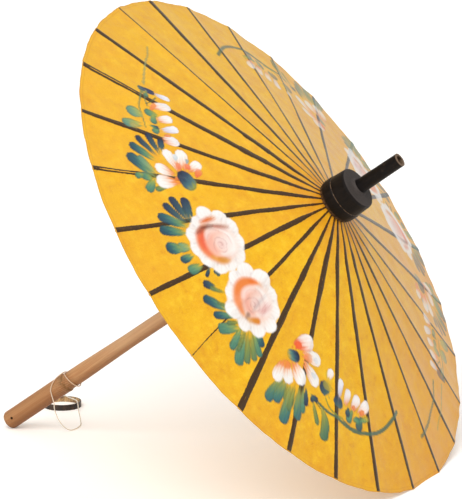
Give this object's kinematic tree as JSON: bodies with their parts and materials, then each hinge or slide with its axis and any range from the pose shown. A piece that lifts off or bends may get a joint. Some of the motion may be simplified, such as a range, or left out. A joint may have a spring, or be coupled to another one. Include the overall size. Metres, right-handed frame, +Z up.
{
  "type": "oil paper umbrella",
  "caption": "Open folding parasol of oiled paper pasted on a ring of bamboo ribs and stretchers, with a bamboo shaft, lacquered cap, sliding runner and closing hoop.",
  "frame": {"origin": "on the floor under the middle of the open umbrella, which lies on two corners of its rim and the butt of its handle", "axes": "+Z up; +X across the umbrella; the shaft lies in the YZ plane and rises towards -Y, so the painted face looks forward and up"},
  "size_m": [0.6, 0.5204, 0.4868],
  "materials": {
    "bamboo": "round bamboo pole with its natural skin, dry, honey brown, faint lengthways grain",
    "split_bamboo": "split and planed bamboo, pale straw brown, with straight fibres",
    "black_lacquer": "hand-brushed black lacquer over wood, satin, slightly worn",
    "oiled_paper": "mustard-yellow oiled mulberry paper, mottled and faintly creased, satin, with painted stripes and flowers",
    "twine": "pale twisted cotton string, matte"
  },
  "bodies": {
    "shaft_and_canopy": {"shaft": "bamboo", "head": "split_bamboo", "cap": "black_lacquer", "canopy": "oiled_paper", "closing_ring": "split_bamboo", "string": "twine"},
    "catch": {"catch": "bamboo"},
    "runner": {"runner": "split_bamboo"},
    "rib_01": {"rib_01": "split_bamboo"},
    "stretcher_01": {"stretcher_01": "split_bamboo"},
    "rib_02": {"rib_02": "split_bamboo"},
    "stretcher_02": {"stretcher_02": "split_bamboo"},
    "rib_03": {"rib_03": "split_bamboo"},
    "stretcher_03": {"stretcher_03": "split_bamboo"},
    "rib_04": {"rib_04": "split_bamboo"},
    "stretcher_04": {"stretcher_04": "split_bamboo"},
    "rib_05": {"rib_05": "split_bamboo"},
    "stretcher_05": {"stretcher_05": "split_bamboo"},
    "rib_06": {"rib_06": "split_bamboo"},
    "stretcher_06": {"stretcher_06": "split_bamboo"},
    "rib_07": {"rib_07": "split_bamboo"},
    "stretcher_07": {"stretcher_07": "split_bamboo"},
    "rib_08": {"rib_08": "split_bamboo"},
    "stretcher_08": {"stretcher_08": "split_bamboo"},
    "rib_09": {"rib_09": "split_bamboo"},
    "stretcher_09": {"stretcher_09": "split_bamboo"},
    "rib_10": {"rib_10": "split_bamboo"},
    "stretcher_10": {"stretcher_10": "split_bamboo"},
    "rib_11": {"rib_11": "split_bamboo"},
    "stretcher_11": {"stretcher_11": "split_bamboo"},
    "rib_12": {"rib_12": "split_bamboo"},
    "stretcher_12": {"stretcher_12": "split_bamboo"},
    "rib_13": {"rib_13": "split_bamboo"},
    "stretcher_13": {"stretcher_13": "split_bamboo"},
    "rib_14": {"rib_14": "split_bamboo"},
    "stretcher_14": {"stretcher_14": "split_bamboo"},
    "rib_15": {"rib_15": "split_bamboo"},
    "stretcher_15": {"stretcher_15": "split_bamboo"},
    "rib_16": {"rib_16": "split_bamboo"},
    "stretcher_16": {"stretcher_16": "split_bamboo"},
    "rib_17": {"rib_17": "split_bamboo"},
    "stretcher_17": {"stretcher_17": "split_bamboo"},
    "rib_18": {"rib_18": "split_bamboo"},
    "stretcher_18": {"stretcher_18": "split_bamboo"},
    "rib_19": {"rib_19": "split_bamboo"},
    "stretcher_19": {"stretcher_19": "split_bamboo"},
    "rib_20": {"rib_20": "split_bamboo"},
    "stretcher_20": {"stretcher_20": "split_bamboo"},
    "rib_21": {"rib_21": "split_bamboo"},
    "stretcher_21": {"stretcher_21": "split_bamboo"},
    "rib_22": {"rib_22": "split_bamboo"},
    "stretcher_22": {"stretcher_22": "split_bamboo"},
    "rib_23": {"rib_23": "split_bamboo"},
    "stretcher_23": {"stretcher_23": "split_bamboo"},
    "rib_24": {"rib_24": "split_bamboo"},
    "stretcher_24": {"stretcher_24": "split_bamboo"},
    "rib_25": {"rib_25": "split_bamboo"},
    "stretcher_25": {"stretcher_25": "split_bamboo"},
    "rib_26": {"rib_26": "split_bamboo"},
    "stretcher_26": {"stretcher_26": "split_bamboo"}
  },
  "joints": [
    {"name": "rib_fold_01", "type": "hinge", "parent": "shaft_and_canopy", "child": "rib_01", "pos_m": [0.00181, -0.15358, 0.27389], "axis": [0.9927, 0.0695, 0.0985], "range_deg": [0, 73.5], "deforming": ["canopy", "catch"]},
    {"name": "elbow_01", "type": "hinge", "parent": "rib_01", "child": "stretcher_01", "pos_m": [0.01633, -0.19525, 0.15694], "axis": [-0.9927, -0.0695, -0.0985], "range_deg": [0, 147]},
    {"name": "runner_pivot", "type": "hinge", "parent": "stretcher_01", "child": "runner", "pos_m": [0.00181, -0.099, 0.23536], "axis": [0.9927, 0.0695, 0.0985], "range_deg": [0, 73.5]},
    {"name": "rib_fold_02", "type": "hinge", "parent": "shaft_and_canopy", "child": "rib_02", "pos_m": [0.00532, -0.15308, 0.2746], "axis": [0.935, 0.2045, 0.2897], "range_deg": [0, 73.5]},
    {"name": "elbow_02", "type": "hinge", "parent": "rib_02", "child": "stretcher_02", "pos_m": [0.04803, -0.19074, 0.16332], "axis": [-0.935, -0.2045, -0.2897], "range_deg": [0, 147]},
    {"name": "rib_fold_03", "type": "hinge", "parent": "shaft_and_canopy", "child": "rib_03", "pos_m": [0.00852, -0.15211, 0.27597], "axis": [0.823, 0.3276, 0.4641], "range_deg": [0, 73.5]},
    {"name": "elbow_03", "type": "hinge", "parent": "rib_03", "child": "stretcher_03", "pos_m": [0.07695, -0.18199, 0.17572], "axis": [-0.823, -0.3276, -0.4641], "range_deg": [0, 147]},
    {"name": "rib_fold_04", "type": "hinge", "parent": "shaft_and_canopy", "child": "rib_04", "pos_m": [0.01123, -0.15072, 0.27793], "axis": [0.6631, 0.4317, 0.6115], "range_deg": [0, 73.5]},
    {"name": "elbow_04", "type": "hinge", "parent": "rib_04", "child": "stretcher_04", "pos_m": [0.10139, -0.1695, 0.19341], "axis": [-0.6631, -0.4317, -0.6115], "range_deg": [0, 147]},
    {"name": "rib_fold_05", "type": "hinge", "parent": "shaft_and_canopy", "child": "rib_05", "pos_m": [0.01328, -0.14901, 0.28036], "axis": [0.4647, 0.5107, 0.7234], "range_deg": [0, 73.5]},
    {"name": "elbow_05", "type": "hinge", "parent": "rib_05", "child": "stretcher_05", "pos_m": [0.11994, -0.154, 0.21536], "axis": [-0.4647, -0.5107, -0.7234], "range_deg": [0, 147]},
    {"name": "rib_fold_06", "type": "hinge", "parent": "shaft_and_canopy", "child": "rib_06", "pos_m": [0.01456, -0.14706, 0.28312], "axis": [0.2393, 0.56, 0.7932], "range_deg": [0, 73.5]},
    {"name": "elbow_06", "type": "hinge", "parent": "rib_06", "child": "stretcher_06", "pos_m": [0.13152, -0.13639, 0.24031], "axis": [-0.2393, -0.56, -0.7932], "range_deg": [0, 147]},
    {"name": "rib_fold_07", "type": "hinge", "parent": "shaft_and_canopy", "child": "rib_07", "pos_m": [0.015, -0.14499, 0.28605], "axis": [0, 0.5767, 0.8169], "range_deg": [0, 73.5]},
    {"name": "elbow_07", "type": "hinge", "parent": "rib_07", "child": "stretcher_07", "pos_m": [0.13545, -0.1177, 0.26679], "axis": [0, -0.5767, -0.8169], "range_deg": [0, 147]},
    {"name": "rib_fold_08", "type": "hinge", "parent": "shaft_and_canopy", "child": "rib_08", "pos_m": [0.01456, -0.14292, 0.28899], "axis": [-0.2393, 0.56, 0.7932], "range_deg": [0, 73.5]},
    {"name": "elbow_08", "type": "hinge", "parent": "rib_08", "child": "stretcher_08", "pos_m": [0.13152, -0.099, 0.29327], "axis": [0.2393, -0.56, -0.7932], "range_deg": [0, 147]},
    {"name": "rib_fold_09", "type": "hinge", "parent": "shaft_and_canopy", "child": "rib_09", "pos_m": [0.01328, -0.14097, 0.29175], "axis": [-0.4647, 0.5107, 0.7234], "range_deg": [0, 73.5]},
    {"name": "elbow_09", "type": "hinge", "parent": "rib_09", "child": "stretcher_09", "pos_m": [0.11994, -0.08139, 0.31821], "axis": [0.4647, -0.5107, -0.7234], "range_deg": [0, 147]},
    {"name": "rib_fold_10", "type": "hinge", "parent": "shaft_and_canopy", "child": "rib_10", "pos_m": [0.01123, -0.13925, 0.29418], "axis": [-0.6631, 0.4317, 0.6115], "range_deg": [0, 73.5]},
    {"name": "elbow_10", "type": "hinge", "parent": "rib_10", "child": "stretcher_10", "pos_m": [0.10139, -0.0659, 0.34017], "axis": [0.6631, -0.4317, -0.6115], "range_deg": [0, 147]},
    {"name": "rib_fold_11", "type": "hinge", "parent": "shaft_and_canopy", "child": "rib_11", "pos_m": [0.00852, -0.13787, 0.29614], "axis": [-0.823, 0.3276, 0.4641], "range_deg": [0, 73.5]},
    {"name": "elbow_11", "type": "hinge", "parent": "rib_11", "child": "stretcher_11", "pos_m": [0.07695, -0.05341, 0.35786], "axis": [0.823, -0.3276, -0.4641], "range_deg": [0, 147]},
    {"name": "rib_fold_12", "type": "hinge", "parent": "shaft_and_canopy", "child": "rib_12", "pos_m": [0.00532, -0.1369, 0.29751], "axis": [-0.935, 0.2045, 0.2897], "range_deg": [0, 73.5]},
    {"name": "elbow_12", "type": "hinge", "parent": "rib_12", "child": "stretcher_12", "pos_m": [0.04803, -0.04465, 0.37025], "axis": [0.935, -0.2045, -0.2897], "range_deg": [0, 147]},
    {"name": "rib_fold_13", "type": "hinge", "parent": "shaft_and_canopy", "child": "rib_13", "pos_m": [0.00181, -0.1364, 0.29822], "axis": [-0.9927, 0.0695, 0.0985], "range_deg": [0, 73.5]},
    {"name": "elbow_13", "type": "hinge", "parent": "rib_13", "child": "stretcher_13", "pos_m": [0.01633, -0.04015, 0.37664], "axis": [0.9927, -0.0695, -0.0985], "range_deg": [0, 147]},
    {"name": "rib_fold_14", "type": "hinge", "parent": "shaft_and_canopy", "child": "rib_14", "pos_m": [-0.00181, -0.1364, 0.29822], "axis": [-0.9927, -0.0695, -0.0985], "range_deg": [0, 73.5]},
    {"name": "elbow_14", "type": "hinge", "parent": "rib_14", "child": "stretcher_14", "pos_m": [-0.01633, -0.04015, 0.37664], "axis": [0.9927, 0.0695, 0.0985], "range_deg": [0, 147]},
    {"name": "rib_fold_15", "type": "hinge", "parent": "shaft_and_canopy", "child": "rib_15", "pos_m": [-0.00532, -0.1369, 0.29751], "axis": [-0.935, -0.2045, -0.2897], "range_deg": [0, 73.5]},
    {"name": "elbow_15", "type": "hinge", "parent": "rib_15", "child": "stretcher_15", "pos_m": [-0.04803, -0.04465, 0.37025], "axis": [0.935, 0.2045, 0.2897], "range_deg": [0, 147]},
    {"name": "rib_fold_16", "type": "hinge", "parent": "shaft_and_canopy", "child": "rib_16", "pos_m": [-0.00852, -0.13787, 0.29614], "axis": [-0.823, -0.3276, -0.4641], "range_deg": [0, 73.5]},
    {"name": "elbow_16", "type": "hinge", "parent": "rib_16", "child": "stretcher_16", "pos_m": [-0.07695, -0.05341, 0.35786], "axis": [0.823, 0.3276, 0.4641], "range_deg": [0, 147]},
    {"name": "rib_fold_17", "type": "hinge", "parent": "shaft_and_canopy", "child": "rib_17", "pos_m": [-0.01123, -0.13925, 0.29418], "axis": [-0.6631, -0.4317, -0.6115], "range_deg": [0, 73.5]},
    {"name": "elbow_17", "type": "hinge", "parent": "rib_17", "child": "stretcher_17", "pos_m": [-0.10139, -0.0659, 0.34017], "axis": [0.6631, 0.4317, 0.6115], "range_deg": [0, 147]},
    {"name": "rib_fold_18", "type": "hinge", "parent": "shaft_and_canopy", "child": "rib_18", "pos_m": [-0.01328, -0.14097, 0.29175], "axis": [-0.4647, -0.5107, -0.7234], "range_deg": [0, 73.5]},
    {"name": "elbow_18", "type": "hinge", "parent": "rib_18", "child": "stretcher_18", "pos_m": [-0.11994, -0.08139, 0.31821], "axis": [0.4647, 0.5107, 0.7234], "range_deg": [0, 147]},
    {"name": "rib_fold_19", "type": "hinge", "parent": "shaft_and_canopy", "child": "rib_19", "pos_m": [-0.01456, -0.14292, 0.28899], "axis": [-0.2393, -0.56, -0.7932], "range_deg": [0, 73.5]},
    {"name": "elbow_19", "type": "hinge", "parent": "rib_19", "child": "stretcher_19", "pos_m": [-0.13152, -0.099, 0.29327], "axis": [0.2393, 0.56, 0.7932], "range_deg": [0, 147]},
    {"name": "rib_fold_20", "type": "hinge", "parent": "shaft_and_canopy", "child": "rib_20", "pos_m": [-0.015, -0.14499, 0.28605], "axis": [0, -0.5767, -0.8169], "range_deg": [0, 73.5]},
    {"name": "elbow_20", "type": "hinge", "parent": "rib_20", "child": "stretcher_20", "pos_m": [-0.13545, -0.1177, 0.26679], "axis": [0, 0.5767, 0.8169], "range_deg": [0, 147]},
    {"name": "rib_fold_21", "type": "hinge", "parent": "shaft_and_canopy", "child": "rib_21", "pos_m": [-0.01456, -0.14706, 0.28312], "axis": [0.2393, -0.56, -0.7932], "range_deg": [0, 73.5]},
    {"name": "elbow_21", "type": "hinge", "parent": "rib_21", "child": "stretcher_21", "pos_m": [-0.13152, -0.13639, 0.24031], "axis": [-0.2393, 0.56, 0.7932], "range_deg": [0, 147]},
    {"name": "rib_fold_22", "type": "hinge", "parent": "shaft_and_canopy", "child": "rib_22", "pos_m": [-0.01328, -0.14901, 0.28036], "axis": [0.4647, -0.5107, -0.7234], "range_deg": [0, 73.5]},
    {"name": "elbow_22", "type": "hinge", "parent": "rib_22", "child": "stretcher_22", "pos_m": [-0.11994, -0.154, 0.21536], "axis": [-0.4647, 0.5107, 0.7234], "range_deg": [0, 147]},
    {"name": "rib_fold_23", "type": "hinge", "parent": "shaft_and_canopy", "child": "rib_23", "pos_m": [-0.01123, -0.15072, 0.27793], "axis": [0.6631, -0.4317, -0.6115], "range_deg": [0, 73.5]},
    {"name": "elbow_23", "type": "hinge", "parent": "rib_23", "child": "stretcher_23", "pos_m": [-0.10139, -0.1695, 0.19341], "axis": [-0.6631, 0.4317, 0.6115], "range_deg": [0, 147]},
    {"name": "rib_fold_24", "type": "hinge", "parent": "shaft_and_canopy", "child": "rib_24", "pos_m": [-0.00852, -0.15211, 0.27597], "axis": [0.823, -0.3276, -0.4641], "range_deg": [0, 73.5]},
    {"name": "elbow_24", "type": "hinge", "parent": "rib_24", "child": "stretcher_24", "pos_m": [-0.07695, -0.18199, 0.17572], "axis": [-0.823, 0.3276, 0.4641], "range_deg": [0, 147]},
    {"name": "rib_fold_25", "type": "hinge", "parent": "shaft_and_canopy", "child": "rib_25", "pos_m": [-0.00532, -0.15308, 0.2746], "axis": [0.935, -0.2045, -0.2897], "range_deg": [0, 73.5]},
    {"name": "elbow_25", "type": "hinge", "parent": "rib_25", "child": "stretcher_25", "pos_m": [-0.04803, -0.19074, 0.16332], "axis": [-0.935, 0.2045, 0.2897], "range_deg": [0, 147]},
    {"name": "rib_fold_26", "type": "hinge", "parent": "shaft_and_canopy", "child": "rib_26", "pos_m": [-0.00181, -0.15358, 0.27389], "axis": [0.9927, -0.0695, -0.0985], "range_deg": [0, 73.5]},
    {"name": "elbow_26", "type": "hinge", "parent": "rib_26", "child": "stretcher_26", "pos_m": [-0.01633, -0.19525, 0.15694], "axis": [-0.9927, 0.0695, 0.0985], "range_deg": [0, 147]},
    {"name": "catch_press", "type": "hinge", "parent": "shaft_and_canopy", "child": "catch", "pos_m": [0, -0.02842, 0.20009], "axis": [1, 0, 0], "range_deg": [-4, 0], "stiffness_Nm_per_rad": 0.05}
  ],
  "couplings": [
    {"joint": "elbow_01", "follows": "rib_fold_01", "ratio": 2},
    {"joint": "runner_pivot", "follows": "rib_fold_01", "ratio": 1},
    {"joint": "rib_fold_02", "follows": "rib_fold_01", "ratio": 1},
    {"joint": "elbow_02", "follows": "rib_fold_01", "ratio": 2},
    {"joint": "rib_fold_03", "follows": "rib_fold_01", "ratio": 1},
    {"joint": "elbow_03", "follows": "rib_fold_01", "ratio": 2},
    {"joint": "rib_fold_04", "follows": "rib_fold_01", "ratio": 1},
    {"joint": "elbow_04", "follows": "rib_fold_01", "ratio": 2},
    {"joint": "rib_fold_05", "follows": "rib_fold_01", "ratio": 1},
    {"joint": "elbow_05", "follows": "rib_fold_01", "ratio": 2},
    {"joint": "rib_fold_06", "follows": "rib_fold_01", "ratio": 1},
    {"joint": "elbow_06", "follows": "rib_fold_01", "ratio": 2},
    {"joint": "rib_fold_07", "follows": "rib_fold_01", "ratio": 1},
    {"joint": "elbow_07", "follows": "rib_fold_01", "ratio": 2},
    {"joint": "rib_fold_08", "follows": "rib_fold_01", "ratio": 1},
    {"joint": "elbow_08", "follows": "rib_fold_01", "ratio": 2},
    {"joint": "rib_fold_09", "follows": "rib_fold_01", "ratio": 1},
    {"joint": "elbow_09", "follows": "rib_fold_01", "ratio": 2},
    {"joint": "rib_fold_10", "follows": "rib_fold_01", "ratio": 1},
    {"joint": "elbow_10", "follows": "rib_fold_01", "ratio": 2},
    {"joint": "rib_fold_11", "follows": "rib_fold_01", "ratio": 1},
    {"joint": "elbow_11", "follows": "rib_fold_01", "ratio": 2},
    {"joint": "rib_fold_12", "follows": "rib_fold_01", "ratio": 1},
    {"joint": "elbow_12", "follows": "rib_fold_01", "ratio": 2},
    {"joint": "rib_fold_13", "follows": "rib_fold_01", "ratio": 1},
    {"joint": "elbow_13", "follows": "rib_fold_01", "ratio": 2},
    {"joint": "rib_fold_14", "follows": "rib_fold_01", "ratio": 1},
    {"joint": "elbow_14", "follows": "rib_fold_01", "ratio": 2},
    {"joint": "rib_fold_15", "follows": "rib_fold_01", "ratio": 1},
    {"joint": "elbow_15", "follows": "rib_fold_01", "ratio": 2},
    {"joint": "rib_fold_16", "follows": "rib_fold_01", "ratio": 1},
    {"joint": "elbow_16", "follows": "rib_fold_01", "ratio": 2},
    {"joint": "rib_fold_17", "follows": "rib_fold_01", "ratio": 1},
    {"joint": "elbow_17", "follows": "rib_fold_01", "ratio": 2},
    {"joint": "rib_fold_18", "follows": "rib_fold_01", "ratio": 1},
    {"joint": "elbow_18", "follows": "rib_fold_01", "ratio": 2},
    {"joint": "rib_fold_19", "follows": "rib_fold_01", "ratio": 1},
    {"joint": "elbow_19", "follows": "rib_fold_01", "ratio": 2},
    {"joint": "rib_fold_20", "follows": "rib_fold_01", "ratio": 1},
    {"joint": "elbow_20", "follows": "rib_fold_01", "ratio": 2},
    {"joint": "rib_fold_21", "follows": "rib_fold_01", "ratio": 1},
    {"joint": "elbow_21", "follows": "rib_fold_01", "ratio": 2},
    {"joint": "rib_fold_22", "follows": "rib_fold_01", "ratio": 1},
    {"joint": "elbow_22", "follows": "rib_fold_01", "ratio": 2},
    {"joint": "rib_fold_23", "follows": "rib_fold_01", "ratio": 1},
    {"joint": "elbow_23", "follows": "rib_fold_01", "ratio": 2},
    {"joint": "rib_fold_24", "follows": "rib_fold_01", "ratio": 1},
    {"joint": "elbow_24", "follows": "rib_fold_01", "ratio": 2},
    {"joint": "rib_fold_25", "follows": "rib_fold_01", "ratio": 1},
    {"joint": "elbow_25", "follows": "rib_fold_01", "ratio": 2},
    {"joint": "rib_fold_26", "follows": "rib_fold_01", "ratio": 1},
    {"joint": "elbow_26", "follows": "rib_fold_01", "ratio": 2}
  ]
}
